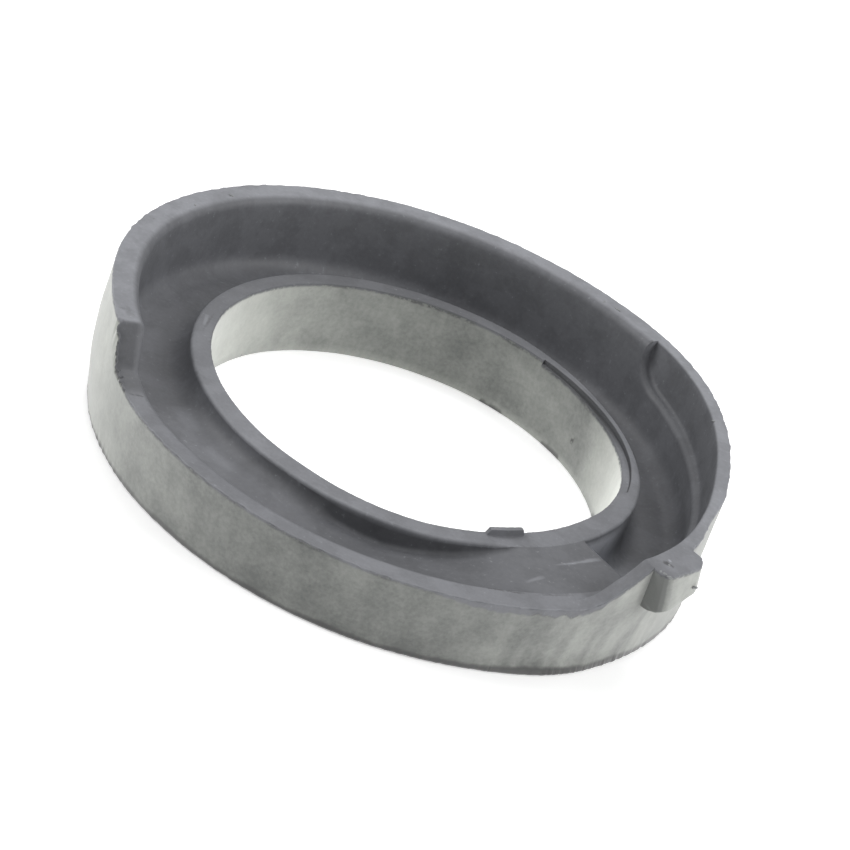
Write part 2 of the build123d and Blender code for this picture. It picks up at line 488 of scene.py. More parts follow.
# %% Azimuths of the sections
SPACING = 0.75
SUDDEN = (STEP, RIGHT_END, RELIEF_END, RECESS)
BEFORE_STEP = (0.6, 0.4, 0.25, 0.12, 0.05)  # degrees before the step, for its worn edge
CLOSE = (  # start, end and spacing
    (205.5, 214.5, 0.15),
    (214.5, 221.0, 0.3),
    (298.3, 299.4, 0.12),
    (309.0, 310.1, 0.12),
    (309.5, 318.0, 0.3),
    (318.0, 322.0, 0.15),
    (322.0, 323.2, 0.1),
    (323.2, 336.0, 0.25),
    (41.5, 50.2, 0.3),
)


def stations():
    """Azimuths of the sections, in order, with no two too close to each other."""
    found = set(np.arange(0.0, 360.0, SPACING))
    for start, end, spacing in CLOSE:
        found |= set(np.arange(start, end, spacing))
    found |= set(STEP - np.array(BEFORE_STEP))
    kept = [a for a in found if all(abs(apart(a, s)) > 0.03 for s in SUDDEN)]
    kept += [s + side for s in SUDDEN for side in (-0.01, 0.01)]
    kept.sort()
    spread = [kept[0]]
    for a in kept[1:]:
        if a - spread[-1] > 0.015:
            spread.append(float(a))
    return spread


azimuths = stations()
print("sections:", len(azimuths), "points:", len(azimuths) * ROWS)

# %% [markdown]
# The outer wall and the bore are light with release dust, and the top faces aren't, though all of it is
# one rubber. So each point carries a few numbers which say where on the ring it is, and the finish
# reads them later. Numbers on the points cost nothing, and unlike a painted image they stay sharp at
# any distance. The first two are the depth below the upper edge of a dusty wall, and how thick the dust
# is on that side of the ring, with painted light mixed in: the outer wall is paler at its left end, and
# the bore at its left and far right, where the lamps and the dust's sheen fall. The front of the outer
# wall has been handled most, so there the dust is worn thin, and painted shade darkens it further.

# %% Dust and painted light on the points
OUTER_DUST_AND_LIGHT = (
    (0, 0.25),
    (150, 0.33),
    (185, 0.42),
    (205, 0.4),
    (225, 0.16),
    (250, 0.08),
    (290, 0.04),
    (308, 0.15),
    (330, 0.18),
)
# The bore's table is partly painted light: high at the left and the far right, where the lamps and the
# sheen fall, low at the back, which they miss.
BORE_DUST_AND_LIGHT = (
    (0, 1.0),
    (15, 0.66),
    (40, 0.12),
    (100, 0.12),
    (135, 0.22),
    (160, 0.5),
    (185, 0.6),
    (330, 0.6),
)
UNDERSIDE_DEPTH = 25.0  # below every upper edge
NO_DUST = (-1.0, 0.0)
# The lug's left side is made dark: it has little dust, and the rest is painted shade, as it faces away
# from the lamps.
SHADED_SIDE = -0.12  # the lug's left side has hardly any dust


def uneven(x, y, z):
    """Smooth noise between about -1 and 1."""
    return noise.noise(Vector((x, y, z)))


def dust_and_light_on(kind, place, along, a, z, top):
    """Depth below the upper edge, and thickness of the dust, with painted light in it."""
    if place == OUTER_FOOT or place == BORE_FOOT and kind == "corner":
        return UNDERSIDE_DEPTH, round_ring(OUTER_DUST_AND_LIGHT, a)
    if place == BORE_FOOT or place == BORE_TOP and kind == "corner" and along < 0.4:
        return bore_edge(a)[1] + lip_lift(a) - z, round_ring(BORE_DUST_AND_LIGHT, a)
    if place != OUTER_TOP or kind == "corner" and along <= 0.5:
        return NO_DUST
    front = smooth(abs(apart(a, 303.0)), 20.0, 8.0)
    below = top - z - (1.2 + 1.3 * uneven(a * 0.6, 1.0, 5.0)) * front
    dust_and_light = round_ring(OUTER_DUST_AND_LIGHT, a)
    dust_and_light += 0.16 * uneven(a * 0.45, z * 0.06, 2.0) * smooth(a, 292.0, 303.0) * smooth(a, 340.0, 330.0)
    if z > lug_foot(a):
        dust_and_light += 0.08 * smooth(a, 323.0, 324.0) * smooth(a, 334.0, 332.0)
        # Painted shade and little dust on the lug's left side.
        if 321.98 < a < 323.4:
            dust_and_light = SHADED_SIDE + (dust_and_light - SHADED_SIDE) * smooth(a, 322.3, 323.4)
    return below, dust_and_light


for a in (90.0, 290.0):
    print("azimuth", a, "dust on the outer wall", round(round_ring(OUTER_DUST_AND_LIGHT, a), 2))

# %% [markdown]
# The top faces have been rubbed bright, and the channel stays dark and dull. The third number is this
# tone. It changes from part to part of the section: the lip, the recess beside the bore, the floor, the
# ledge and the wall's top, and each of them changes round the ring too. In places it is painted light
# and shade: painted shade on the steep face, the low rim and the lug, in the recess and on its riser,
# and in the crescent beside the lip at the front, and painted light that lifts the lamps' shadow in the
# channel beside the step and the shade in the ledge's round corner.

# %% Tone, with painted light and shade, on the points
# Low from 250 to 302 degrees: painted shade in the crescent beside the lip at the front. The jump just
# after the step is painted light in the deep channel there, where the lamps leave a shadow.
FLOOR_TONE_AND_LIGHT = (
    (0, 0.62),
    (235, 0.62),
    (250, 0.55),
    (262, 0.45),
    (290, 0.42),
    (302, 0.5),
    (325.9, 0.52),
    (326.1, 0.92),
    (345, 0.66),
)
LIP_TONE = (
    (0, 0.72),
    (50, 0.6),
    (100, 0.44),
    (140, 0.5),
    (180, 0.69),
    (215, 0.82),
    (250, 0.84),
    (300, 0.7),
)
# The riser's value is painted shade.
RAMP_TONE, LEDGE_TONE, THIN_WALL_TONE, RISER_SHADE = 0.72, 0.54, 0.58, 0.25


def wall_tone_and_shade(a):
    """Tone of the wall's top, with painted shade: the steep face is darker, as it faces away from the
    lamps, and so are the low rim and the lug at the front.
    """
    steep = smooth(a, 207.2, 207.8) * (1 - smooth(a, 216.0, 218.8))
    low = smooth(a, 207.2, 207.8) * (1 - smooth(a, 318.0, 326.0))
    lug = smooth(a, 318.0, 322.0) * (1 - smooth(a, 330.0, 342.0))
    return 1.0 - 0.27 * low - 0.27 * steep - 0.22 * lug


def lip_tone_and_shade(kind, place, along, a, in_channel):
    """Tone of the lip, and painted shade in the recess beside the bore and on its riser."""
    faded = away(RECESS, a)
    on_riser = place == RISER_TOP and kind == "corner" and along < 0.6
    if faded < RECESS_SPAN and (place in (BORE_TOP, STRIP_END) or on_riser):
        # In the recess the strip and its riser are darkened with painted shade, the riser most.
        if on_riser or place == STRIP_END and along > 0.4:
            return RISER_SHADE
        return 0.32 + 0.4 * smooth(faded, 25.0, 50.0)
    tone_and_light = round_ring(LIP_TONE, a)
    if place == LIP_EDGE:
        tone_and_light += (in_channel - tone_and_light) * smooth(along, 0.2, 1.0) * beside_recess(a)
    return tone_and_light


def tone_and_light_on(kind, place, along, a):
    """Tone of the bare rubber at a point of the section, with painted light and shade in places."""
    in_channel = round_ring(FLOOR_TONE_AND_LIGHT, a)
    relieved = ledge_height(a) is not None
    if place in (BORE_TOP, STRIP_END, RISER_TOP) or place == LIP_EDGE and kind == "corner":
        return lip_tone_and_shade(kind, place, along, a, in_channel)
    if place in (LIP_EDGE, FLOOR_IN):
        # Beside the step the lip's side and the floor are lightened with painted light, which lifts the
        # lamps' shadow in the deep channel.
        painted_light_near_step = 1.6 if place == LIP_EDGE else 2.2 if kind == "corner" else 2.0 * (1 - along)
        return in_channel + smooth(away(a, STEP), 30.0, 0.0) * painted_light_near_step
    if place == FLOOR_OUT:
        return in_channel
    if place == INNER_EDGE and kind == "corner" and not relieved:
        return in_channel + (wall_tone_and_shade(a) - in_channel) * smooth(along, 0.6, 1.0)
    if place in (INNER_EDGE, LEDGE_END) and relieved:
        on_ramp = away(a, RAMP_FOOT) <= away(STEP, RAMP_FOOT)
        # Towards the ledge's round end its tone is raised with painted light, which lifts the shade in
        # that corner.
        return RAMP_TONE if on_ramp else LEDGE_TONE + 0.15 * smooth(away(RELIEF_END, a), 8.0, 1.0)
    if place == THIN_TOP and kind == "corner" and relieved:
        return THIN_WALL_TONE + (wall_tone_and_shade(a) - THIN_WALL_TONE) * smooth(along, 0.2, 0.8)
    return wall_tone_and_shade(a) if place > FLOOR_OUT else 1.0


for a in (100, 210, 260):
    print("azimuth", a, "tone of the wall's top", round(wall_tone_and_shade(a), 2))

# %% [markdown]
# The last two numbers say how near a point is to a worn edge, which also gets a painted highlight, and
# how far the dark band at the foot reaches up: painted shade with grime round the outside, thicker at
# the right, and a few grimy flecks in the bore.

# %% All the numbers on a point
# Pale worn edges, with a painted highlight along the middle of each rounding.
EDGE_WEAR_AND_HIGHLIGHT = {LIP_EDGE: 0.3, THIN_TOP: 0.2, OUTER_TOP: 0.3, OUTER_FOOT: 0.3}
ROW_PLACE = []
for i, (in_corner, in_side) in enumerate(zip(CORNER_POINTS, SIDE_POINTS)):
    ROW_PLACE += [("corner", i, k / (in_corner - 1)) for k in range(in_corner)]
    ROW_PLACE += [("side", i, (k + 1) / (in_side + 1)) for k in range(in_side)]


def wear_and_highlight_on(kind, place, along, a):
    """How light a point's edge is, from wear and a painted highlight: only corners are, most at their
    middle.
    """
    if kind == "side" or place == THIN_TOP and ledge_height(a) is None:
        return 0.0
    wear_and_highlight = EDGE_WEAR_AND_HIGHLIGHT.get(place, 0.0) * math.sin(math.pi * along)
    return wear_and_highlight * smooth(LEVEL - floor_height(a), 0.2, 5.0) if place == LIP_EDGE else wear_and_highlight


def foot_shade_and_grime_on(place, a, z):
    """How far the dark band reaches up at the foot: painted shade with grime round the outside, grimy
    flecks in the bore.
    """
    if z >= 5.0:
        return 0.0
    if place in (OUTER_TOP, OUTER_FOOT):
        return 0.7 + 0.5 * smooth(apart(a, 285.0), 0.0, 20.0)
    return 0.5 * smooth(uneven(a * 0.09, 5.0, 1.0) + 0.4 * uneven(a * 0.5, 1.0, 8.0), 0.15, 0.4)


def marks(row, a, z, top):
    """The numbers below, dust with painted light, tone with painted light and shade, edge with its
    painted highlight, and foot with its painted shade, of one point.
    """
    where = ROW_PLACE[row]
    return *dust_and_light_on(*where, a, z, top), tone_and_light_on(*where, a), wear_and_highlight_on(*where, a), foot_shade_and_grime_on(where[1], a, z)


print("rows with a place in the section:", len(ROW_PLACE))

# %% [markdown]
# No moulding is perfect. The surface waves by a tenth of a millimetre, the foot has a little
# flash and flares out at the front right, and the outer edge at the left end of the tall wall
# is torn into small chips. These are pushes on the points, from a smooth noise that gives the
# same result each run.

# %% Pushes on the points
TORN_OUT, TORN_DOWN = 1.15, 0.35
TORN_ROWS = 0.3  # share of the outer wall's rows that the chips reach down
FLARE, FLARE_AZIMUTH, FLARE_SPAN = 1.1, 312.0, 20.0


def flash(a):
    """Thin ragged skin at the foot, where the mould closed."""
    return 0.22 * uneven(a * 0.9, 3.0, 0.0) + 0.12 * uneven(a * 2.7, 9.0, 0.0)


def torn(a):
    """How deep the chips are at the left end of the tall wall."""
    stretch = smooth(a, 206.8, 207.6) * (1 - smooth(a, 214.0, 218.5))
    if not stretch:
        return 0.0
    chip = max(uneven(a * 1.15, 0.5, 0.0) + 0.25, 0.0)
    chip += 0.6 * max(uneven(a * 3.1, 4.5, 0.0), 0.0)
    return stretch * chip


def fault(position, a, row, z):
    """Push outwards and upwards in millimetres for one point."""
    kind, place, along = ROW_PLACE[row]
    in_corner = kind == "corner"
    at_foot = place == OUTER_FOOT and in_corner
    out = noise.noise(position * 0.09) * 0.10 + noise.noise(position * 0.31) * 0.05
    up = 0.0 if z < 0.4 else 0.06 * noise.noise(position * 0.07 + Vector((7, 3, 1)))
    if at_foot or place == OUTER_TOP and z < 1.2:
        out += flash(a)
    if place == OUTER_TOP and in_corner:
        out += 0.28 * (uneven(a * 0.55, 8.0, 0.0) + 0.7 * uneven(a * 1.6, 2.0, 0.0))
        up += 0.10 * uneven(a * 1.1, 6.0, 3.0)
    if place in (BORE_TOP, LIP_EDGE) and in_corner:
        out += 0.10 * uneven(a * 0.8, 12.0, place)
    if at_foot or place == OUTER_TOP:
        out += FLARE * lobe(a, FLARE_AZIMUTH, FLARE_SPAN) * (1 - smooth(z, 0.5, 4.0))
    if place == OUTER_TOP and (in_corner or along < TORN_ROWS):
        fade = 1.0 if in_corner else 1 - along / TORN_ROWS
        out -= TORN_OUT * torn(a) * fade
        up -= TORN_DOWN * torn(a) * fade
    return out, up


print("chips at 208, 210, 212 and 214 degrees:", [round(torn(a), 2) for a in (208, 210, 212, 214)])

# %% [markdown]
# The sections are joined in rows, and points that fall together are merged, which also removes
# the sides of no length. The lengths of the rows don't matter for the shading, because normals
# are smooth except where two faces meet at more than 32 degrees.

# %% Build the ring
SHARP = math.radians(32)
MERGE, DISSOLVE = 2e-6, 1e-6  # metres


def on_ring(radius, azimuth, z):
    """A point in millimetres from its radius, azimuth and height."""
    turn = math.radians(azimuth)
    return radius * math.cos(turn), radius * math.sin(turn), z


def ring_mesh():
    """The sections joined in rows, with the numbers on their points."""
    positions = []
    numbers = []
    for a in azimuths:
        top = wall_height(a, OUTSIDE)
        for row, (r, z, shift) in enumerate(section(a)):
            out, up = fault(Vector(on_ring(r, a + shift, z)), a, row, z)
            positions.append([v * MM for v in on_ring(r + out, a + shift, z + up)])
            numbers.append(marks(row, a, z, top))
    count = len(azimuths)
    faces = []
    for i in range(count):
        near, far = i * ROWS, (i + 1) % count * ROWS
        for j in range(ROWS):
            k = (j + 1) % ROWS
            faces.append((near + j, near + k, far + k, far + j))
    mesh = bpy.data.meshes.new("spring_seat_rubber")
    mesh.from_pydata(positions, [], faces)
    for name, column in zip(("below", "dust_and_light", "tone_and_light", "edge", "foot"), zip(*numbers)):
        layer = mesh.attributes.new(name, "FLOAT", "POINT")
        layer.data.foreach_set("value", np.array(column, np.float32))
    return mesh


def cleaned(mesh):
    """Merges points that fall together and turns all faces outwards."""
    work = bmesh.new()
    work.from_mesh(mesh)
    bmesh.ops.remove_doubles(work, verts=work.verts, dist=MERGE)
    bmesh.ops.dissolve_degenerate(work, dist=DISSOLVE, edges=work.edges)
    bmesh.ops.recalc_face_normals(work, faces=work.faces)
    if work.calc_volume(signed=True) < 0:
        bmesh.ops.reverse_faces(work, faces=work.faces)
    open_edges = sum(1 for e in work.edges if not e.is_manifold)
    volume = round(work.calc_volume() * 1e6, 1)
    print("ring: faces", len(work.faces), "open edges", open_edges, "volume ml", volume)
    work.to_mesh(mesh)
    work.free()
    mesh.shade_smooth()
    mesh.set_sharp_from_angle(angle=SHARP)
    return mesh


def piece(name, mesh):
    """A shown piece of the object: it rides the one body."""
    thing = bpy.data.objects.new(name, mesh)
    bpy.context.scene.collection.objects.link(thing)
    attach(thing, "root")
    print("triangles in", name + ":", sum(len(p.vertices) - 2 for p in mesh.polygons))
    return thing


seat = piece("seat_ring", cleaned(ring_mesh()))
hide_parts("spring_seat")

# %% [markdown]
# Where the two halves of the mould met, a thin skin of rubber was torn off and left small
# flakes along the outer edge and on the lug. Each is a little lump, pulled out of shape with
# noise and half sunk in the ring, so none of them floats.

# %% Build the flakes
FLAKES = (  # radius, azimuth, height and size
    (71.2, 145.2, 29.3, 0.9),
    (71.0, 155.7, 29.3, 0.6),
    (72.6, 168.0, 29.3, 0.5),
    (71.4, 60.9, 29.3, 1.0),
    (70.9, 64.0, 29.3, 0.6),
    (69.0, 23.5, 29.2, 0.8),
    (69.6, 17.0, 29.2, 0.5),
    (79.0, 330.6, 24.4, 0.9),
    (77.0, 322.5, 29.2, 0.9),
    (76.0, 322.4, 29.2, 0.7),
    (78.2, 322.8, 29.2, 0.8),
    (75.0, 325.2, 29.3, 0.6),
)


def flakes_mesh():
    """All the flakes in one mesh, each a stretched and twisted lump."""
    work = bmesh.new()
    for index, (radius, azimuth, z, size) in enumerate(FLAKES):
        where = Vector(on_ring(radius, azimuth, z))
        lump = bmesh.ops.create_icosphere(work, subdivisions=2, radius=0.5 * size)["verts"]
        for vert in lump:
            pull = 1 + 0.9 * noise.noise(vert.co * 2.2 / size + Vector((index * 3.7, 0, 0)))
            vert.co = Vector((vert.co.x * 1.6, vert.co.y * 0.7, vert.co.z * 0.5)) * pull
            vert.co = (Matrix.Rotation(index * 1.9, 3, "Z") @ vert.co + where) * MM
    mesh = bpy.data.meshes.new("seat_flakes")
    work.to_mesh(mesh)
    work.free()
    mesh.shade_smooth()
    return mesh


flakes = piece("seat_flakes", flakes_mesh())

# %% [markdown]
# A finish is worked out with sums on values, which the node editor writes as Math nodes. This
# small class lets the script write them as plain expressions: it wraps one output socket, and
# an operator on it adds the node. Colours go through Mix nodes instead, because a Math node
# would turn them grey, and places go through Vector Math. Any other node comes from one method.

# %% Sockets with operators


class Wire:
    """An output socket in a material, with arithmetic."""

    tree = None

    def __init__(self, socket):
        self.socket = socket

    @classmethod
    def node(cls, kind, settings=None, sockets=None, out=0):
        """Adds a node, sets its settings first, then its sockets, and wraps an output if it has one."""
        made = cls.tree.nodes.new(kind)
        for name, value in (settings or {}).items():
            setattr(made, name, value)
        for name, value in (sockets or {}).items():
            slots = [s for s in made.inputs if s.identifier == name or s.name == name]
            target = made.inputs[name] if isinstance(name, int) else slots[0]
            if isinstance(value, Wire):
                cls.tree.links.new(value.socket, target)
            else:
                target.default_value = value
        if not made.outputs:
            return None
        outputs = [s for s in made.outputs if s.identifier == out or s.name == out]
        return cls(made.outputs[out] if isinstance(out, int) else outputs[0])

    @classmethod
    def maths(cls, operation, a, b):
        return cls.node("ShaderNodeMath", {"operation": operation}, {0: a, 1: b})

    def __add__(self, other):
        return Wire.maths("ADD", self, other)

    def __sub__(self, other):
        return Wire.maths("SUBTRACT", self, other)

    def __rsub__(self, other):
        return Wire.maths("SUBTRACT", other, self)

    def __mul__(self, other):
        return Wire.maths("MULTIPLY", self, other)

    def __truediv__(self, other):
        return Wire.maths("DIVIDE", self, other)

    __radd__ = __add__
    __rmul__ = __mul__

    def clamp(self, low=0.0, high=1.0):
        return Wire.maths("MINIMUM", Wire.maths("MAXIMUM", self, low), high)

    def step(self, low, high):
        """Soft step from 0 at one value to 1 at another."""
        sockets = {"Value": self, "From Min": low, "From Max": high}
        return Wire.node("ShaderNodeMapRange", {"interpolation_type": "SMOOTHSTEP"}, sockets)


def mixed(factor, a, b):
    """Mix of two colours."""
    sockets = {"Factor_Float": factor, "A_Color": a, "B_Color": b}
    return Wire.node("ShaderNodeMix", {"data_type": "RGBA"}, sockets, "Result_Color")


def vectors(operation, sockets, out=0):
    """Vector Math on places and directions."""
    return Wire.node("ShaderNodeVectorMath", {"operation": operation}, sockets, out)


def colour(red, green, blue):
    """A colour for a socket, with its fourth value."""
    return (red, green, blue, 1.0)


# %% [markdown]
# Each finish starts as an empty material and ends with a shader on its surface. The helpers
# below write those parts once, so that each material further down holds only what is its own.

# %% Parts that all materials share


def new_material(name):
    """An empty material, in which the wires add their nodes."""
    material = bpy.data.materials.new(name)
    material.use_nodes = True
    material.node_tree.nodes.clear()
    Wire.tree = material.node_tree
    return material


def on_object():
    """The place of a point in the object's own axes, in metres."""
    return Wire.node("ShaderNodeTexCoord", None, None, "Object")


def bumpy(height, strength, distance):
    """A bump for a shader's normal, with its distance in metres."""
    sockets = {"Strength": strength, "Distance": distance, "Height": height}
    return Wire.node("ShaderNodeBump", None, sockets, "Normal")


def principled(sockets):
    """A shader from the values and links of its sockets."""
    return Wire.node("ShaderNodeBsdfPrincipled", None, sockets, "BSDF")


def finished(material, shader):
    """Puts the shader on the material's surface."""
    Wire.node("ShaderNodeOutputMaterial", None, {"Surface": shader})
    print("nodes in", material.name + ":", len(material.node_tree.nodes))
    return material


# %% [markdown]
# A few marks can be made out one by one: pale scuffs on the plateau, dark lines where the plateau meets
# the rim, which are painted shade in that crease, a line across the rim, stains in the channel, a
# painted pool of light on the channel's floor at the left, and one pit in the bore, painted as a dark
# spot of shade.
# Each is a stroke between two points on the ring. Noise can't put a mark in its place, and a
# mesh of its own would be too much for a stain, so the finish measures how far a point is from
# the stroke.

# %% Strokes
LIGHT_STROKES = (  # start, end, width and strength
    (on_ring(59.0, 310.0, 19.0), on_ring(58.9, 318.0, 19.3), 0.5, 0.4),
    (on_ring(58.9, 315.5, 19.3), on_ring(59.2, 325.0, 19.3), 0.7, 0.4),
    (on_ring(64.3, 302.6, 19.1), on_ring(62.7, 307.6, 19.1), 0.7, 0.25),
    (on_ring(74.3, 326.3, 29.3), on_ring(73.3, 326.6, 29.3), 0.5, 0.6),
    # A painted pool of light on the channel's floor, where the lamps' light comes past the wall's end.
    (on_ring(60.5, 181.0, 12.3), on_ring(60.5, 192.0, 12.6), 4.5, 0.11),
    (on_ring(56.8, 213.0, 13.8), on_ring(57.6, 223.0, 13.9), 2.6, 0.15),
    (on_ring(58.4, 229.0, 14.0), on_ring(58.2, 238.0, 14.2), 2.6, 0.13),
    (on_ring(51.3, 178.0, 19.0), on_ring(51.0, 184.0, 19.0), 0.5, 0.25),
)
DARK_STROKES = (
    # These four are painted shade in the crease where the plateau meets the rim.
    (on_ring(67.4, 283.2, 18.0), on_ring(67.6, 290.6, 18.6), 0.5, 0.75),
    (on_ring(67.6, 290.0, 18.6), on_ring(68.2, 296.9, 19.0), 0.6, 0.85),
    (on_ring(68.2, 296.3, 19.0), on_ring(68.6, 301.0, 19.0), 0.4, 0.6),
    (on_ring(68.8, 303.0, 19.0), on_ring(68.9, 311.0, 19.0), 0.35, 0.3),
    (on_ring(73.0, 217.9, 19.4), on_ring(68.5, 218.9, 19.4), 0.3, 0.5),
    (on_ring(73.4, 324.9, 29.3), on_ring(75.9, 325.8, 29.3), 1.0, 0.8),
    (on_ring(71.6, 202.5, 29.3), on_ring(71.4, 206.6, 29.3), 1.3, 0.2),
    (on_ring(69.2, 50.6, 29.3), on_ring(70.4, 50.2, 29.3), 0.6, 0.6),
    (on_ring(50.3, 176.0, 19.0), on_ring(50.8, 187.0, 19.0), 0.35, 0.3),
    (on_ring(48.9, 172.0, 19.0), on_ring(48.9, 192.0, 19.0), 0.5, 0.35),
)
# The pit has no hollow in the mesh; its dark spot is painted shade.
PIT = (on_ring(49.2, 43.0, 7.2), on_ring(49.2, 44.4, 7.2), 1.2)


def stroke(place, start, end, width, rough):
    """1 on a thin line between two points in millimetres, ragged and soft at its sides."""
    first, run = Vector(start) * MM, (Vector(end) - Vector(start)) * MM
    past = vectors("SUBTRACT", {0: place, 1: first})
    along = vectors("DOT_PRODUCT", {0: past, 1: run / run.length_squared}, "Value").clamp()
    nearest = vectors("SCALE", {0: run, "Scale": along})
    off = vectors("DISTANCE", {0: past, 1: nearest}, "Value")
    taper = Wire.maths("POWER", (along * (1 - along) * 4).clamp(), 0.5)
    return (1 - (off / MM + (rough - 0.5) * 3.0 * width).step(0.1 * width, width)) * taper


print("strokes:", len(LIGHT_STROKES), "light,", len(DARK_STROKES), "dark, and one pit")

# %% [markdown]
# The real seat is dark grey rubber. The press leaves its top faces a clean, slightly bluish satin, with
# pale specks and worn edges, which also carry a painted highlight. The two upright walls are covered in
# pale greenish dust with streaks, worn through in patches, and there is painted shade with grime at the
# foot, and grime along the upper edges. Noise at three sizes, and a fourth one stretched upright,
# breaks all of it up, because a single size of noise looks like a print.

# %% Noise at several sizes


def grain(place, size, detail=4.0, roughness=0.55, stretch=(1, 1, 1), shift=(0, 0, 0)):
    """Noise whose features are about a size in millimetres, 0 to 1."""
    sockets = {"Vector": place, "Scale": stretch, "Location": shift}
    scaled = Wire.node("ShaderNodeMapping", {"vector_type": "POINT"}, sockets)
    sockets = {"Vector": scaled, "Scale": 1000.0 / size, "Detail": detail, "Roughness": roughness}
    return Wire.node("ShaderNodeTexNoise", None, sockets, "Fac")


def grains(place):
    """Clouds, blotches, fine specks and upright streaks."""
    cloud = grain(place, 24.0, 5.0)
    blotch = grain(place, 8.0, 5.0, 0.6, shift=(0.4, 0.1, 0.7))
    fine = grain(place, 1.0, 3.0, 0.6)
    upright = grain(place, 4.0, 4.0, 0.6, stretch=(1, 1, 0.15))
    return cloud, blotch, fine, upright


# %% [markdown]
# The powder on the walls goes from thin and grey to thick and pale, by the number on the points, which
# carries painted light as well, and all the noises. Over it lie painted shade with grime at the foot,
# grime below the upper edges, dark specks, and the pit's painted shade. Each coat is one Mix node over
# the last, as a painter would lay them.

# %% Colour of the dusty walls
THIN_DUST, THICK_DUST = colour(0.12, 0.126, 0.12), colour(0.75, 0.77, 0.71)
SHADE_AND_GRIME, SPECK, PIT_SHADE = colour(0.06, 0.06, 0.06), colour(0.12, 0.12, 0.12), colour(0.03, 0.03, 0.03)


def dusty_colour(place, below, dust_and_light, foot, cloud, blotch, fine, upright):
    """Colour of the powder, with painted shade and grime at the foot, grime, specks and the pit's
    painted shade over it.
    """
    height = Wire.node("ShaderNodeSeparateXYZ", None, {"Vector": place}, "Z") / MM
    # The dark band at the foot: painted shade under the edge, with grime.
    foot_shade_and_grime = (1 - (height - foot * 1.5 + (blotch - 0.5) * 2.0).step(-0.2, 1.0)) * foot.step(0.1, 0.4)
    patches = dust_and_light + (cloud - 0.5) * 0.32 + (blotch - 0.5) * 0.3 + (upright - 0.5) * 0.1
    dirt = (1 - (below + (blotch - 0.5) * 2.4).step(0.3, 1.1)) * fine.step(0.38, 0.52)
    powder = mixed((patches + (fine - 0.5) * 0.2).clamp(), THIN_DUST, THICK_DUST)
    powder = mixed(foot_shade_and_grime * 0.9, powder, SHADE_AND_GRIME)
    powder = mixed(dirt * 0.85, powder, SHADE_AND_GRIME)
    powder = mixed(fine.step(0.66, 0.78) * 0.4, powder, SPECK)
    # The pit's dark spot is painted shade.
    return mixed(stroke(place, *PIT, fine) * 0.9, powder, PIT_SHADE)


# %% [markdown]
# On the clean faces the tone, with its painted light and shade, goes from black to a bluish grey, and
# the noises add faint patches. Worn edges with a painted highlight, scuffs, a painted pool of light,
# cracks and painted shade in the plateau's crease, and pale specks lie over it in the same way.

# %% Colour of the clean faces
BLACK, FULL_TONE = colour(0.0, 0.0, 0.0), colour(0.410, 0.420, 0.454)
WORN_EDGE_AND_HIGHLIGHT, SCUFF_AND_PAINTED_LIGHT = colour(0.34, 0.35, 0.37), colour(0.36, 0.37, 0.40)
CRACK_AND_CREASE_SHADE, PALE_SPECK = colour(0.04, 0.04, 0.04), colour(0.33, 0.34, 0.36)


def clean_colour(place, tone_and_light, edge, cloud, blotch, fine):
    """Colour of the rubbed faces, with worn edges and their painted highlight, and all the strokes over
    it.
    """
    patch = (blotch.step(0.42, 0.58) * 0.15 + (fine - 0.5) * 0.3 + (cloud - 0.5) * 0.3 - 0.07) * tone_and_light
    clean = mixed((tone_and_light + patch) * 0.5, BLACK, FULL_TONE)
    # Worn edges, lightened further with a painted highlight.
    clean = mixed((edge * (0.2 + blotch * 0.8)).clamp(0.0, 0.6), clean, WORN_EDGE_AND_HIGHLIGHT)
    for start, end, width, strength in LIGHT_STROKES:
        clean = mixed(stroke(place, start, end, width, blotch) * strength, clean, SCUFF_AND_PAINTED_LIGHT)
    for start, end, width, strength in DARK_STROKES:
        clean = mixed(stroke(place, start, end, width, fine) * strength, clean, CRACK_AND_CREASE_SHADE)
    return mixed(fine.step(0.64, 0.76) * 0.3, clean, PALE_SPECK)


# %% [markdown]
# Bare rubber has a satin gloss, and dust has none but a soft sheen at its rim. Blending the two
# roughnesses on one shader would also blend the sheen, so there are two shaders, and the dust's
# ragged upper line mixes them. The bump is shared: fine grain, blotches, and a little of the
# upright streaks where there is dust.

# %% Material of the rubber


def rubber():
    """Bare satin rubber where it was rubbed, and dusty rubber on the walls."""
    material = new_material("dusty_rubber")
    place = on_object()
    below, dust_and_light, tone_and_light, edge, foot = (
        Wire.node("ShaderNodeAttribute", {"attribute_name": name}, None, "Fac")
        for name in ("below", "dust_and_light", "tone_and_light", "edge", "foot")
    )
    cloud, blotch, fine, upright = grains(place)
    dusty = (below - 0.15 - (blotch - 0.5) * 1.6 - (fine - 0.5) * 1.0).step(0.0, 0.9)
    relief = fine * 0.3 + blotch * 0.5 + upright * dusty * 0.2
    bump = bumpy(relief, 0.3, 0.0003)
    clean = {
        "Base Color": clean_colour(place, tone_and_light, edge, cloud, blotch, fine),
        "Roughness": 0.5 + blotch * 0.12,
        "Normal": bump,
        "Specular IOR Level": 0.4,
    }
    powder = {
        "Base Color": dusty_colour(place, below, dust_and_light, foot, cloud, blotch, fine, upright),
        "Roughness": 0.85,
        "Normal": bump,
        "Specular IOR Level": 0.25,
        "Sheen Weight": 0.6,
        "Sheen Roughness": 0.5,
    }
    sockets = {0: dusty, 1: principled(clean), 2: principled(powder)}
    return finished(material, Wire.node("ShaderNodeMixShader", None, sockets, "Shader"))


seat.data.materials.append(rubber())

# %% [markdown]
# Torn rubber is rough and paler than the skin round it. A flake is so small that one fine noise
# is enough, for its colour, its roughness and its bump.

# %% Material of the flakes


